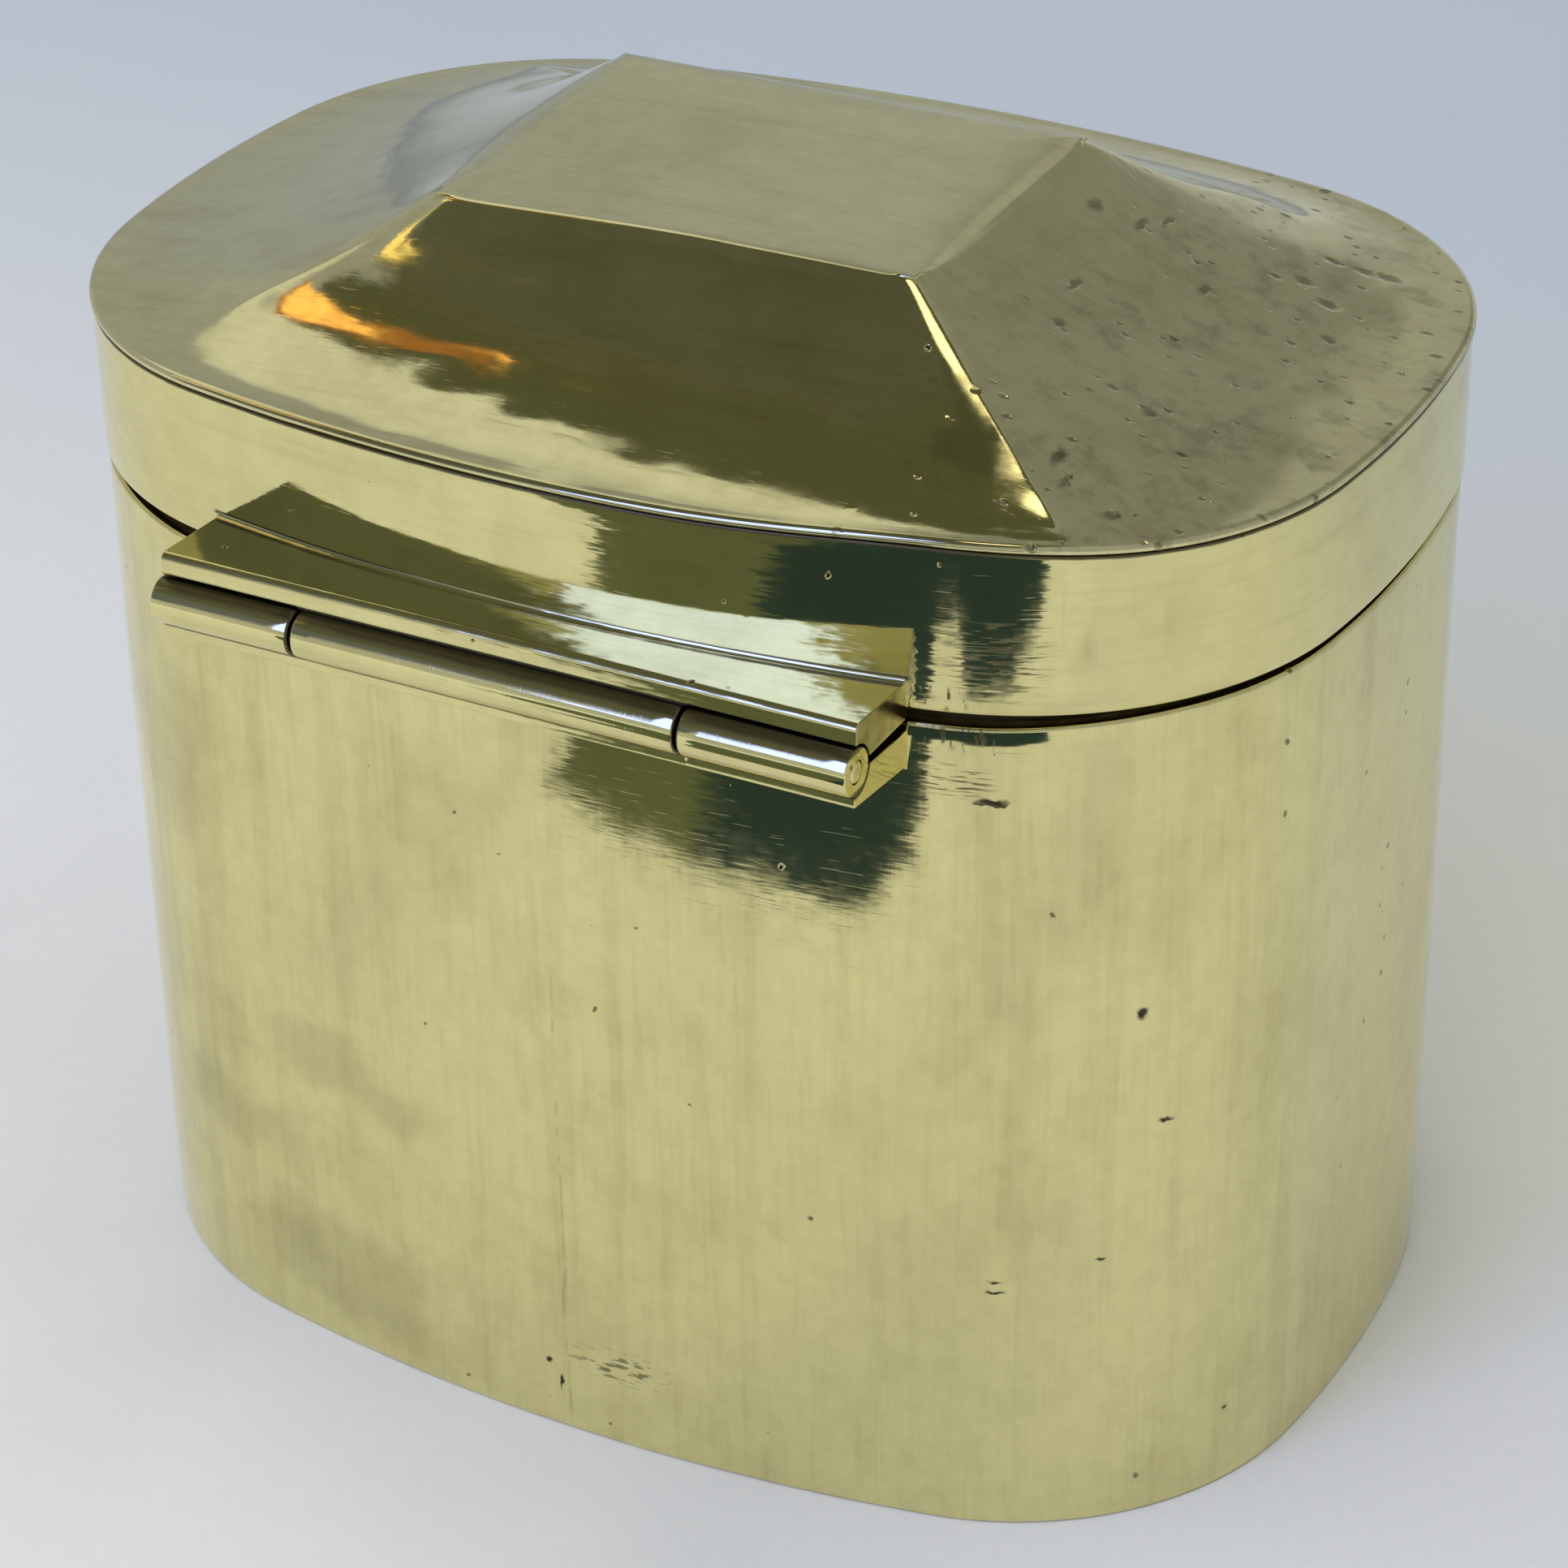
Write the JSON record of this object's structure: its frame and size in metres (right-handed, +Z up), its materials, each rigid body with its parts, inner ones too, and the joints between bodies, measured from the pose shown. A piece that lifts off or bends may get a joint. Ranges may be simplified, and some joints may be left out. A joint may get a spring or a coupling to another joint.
{
  "type": "needle case",
  "caption": "Rounded-rectangle sheet-brass needle box with a hinged, hipped lid that sweeps up to a small flat top.",
  "frame": {"origin": "middle of the box's base, on the surface that it stands on", "axes": "+Z up, X along the long side, +Y towards the hinge, so the lid opens from the -Y side"},
  "size_m": [0.0604, 0.0477, 0.0551],
  "materials": {
    "brass_wall": "worn satin, fine scratches and small dark pits",
    "brass_base": "dull, scuffed",
    "brass_inside": "dull, darkened",
    "brass_hinge": "polished by handling, dark in the corners",
    "brass_pin": "filed flush at the ends",
    "brass_band": "brushed along its length, worn",
    "brass_lid": "mirror-like but rippled and pitted, darker and greyer"
  },
  "bodies": {
    "box": {"body_wall": "brass_wall", "base_plate": "brass_base", "inner_collar": "brass_inside", "body_hinge_ledge": "brass_hinge", "body_knuckle_left": "brass_hinge", "body_knuckle_right": "brass_hinge", "hinge_pin": "brass_pin"},
    "lid": {"lid_band": "brass_band", "lid_top": "brass_lid", "lid_hinge_bar": "brass_hinge", "lid_knuckle": "brass_hinge"}
  },
  "joints": [
    {"name": "lid_hinge", "type": "hinge", "parent": "box", "child": "lid", "pos_m": [0, 0.02469, 0.0409], "axis": [-1, 0, 0], "range_deg": [0, 170]}
  ]
}
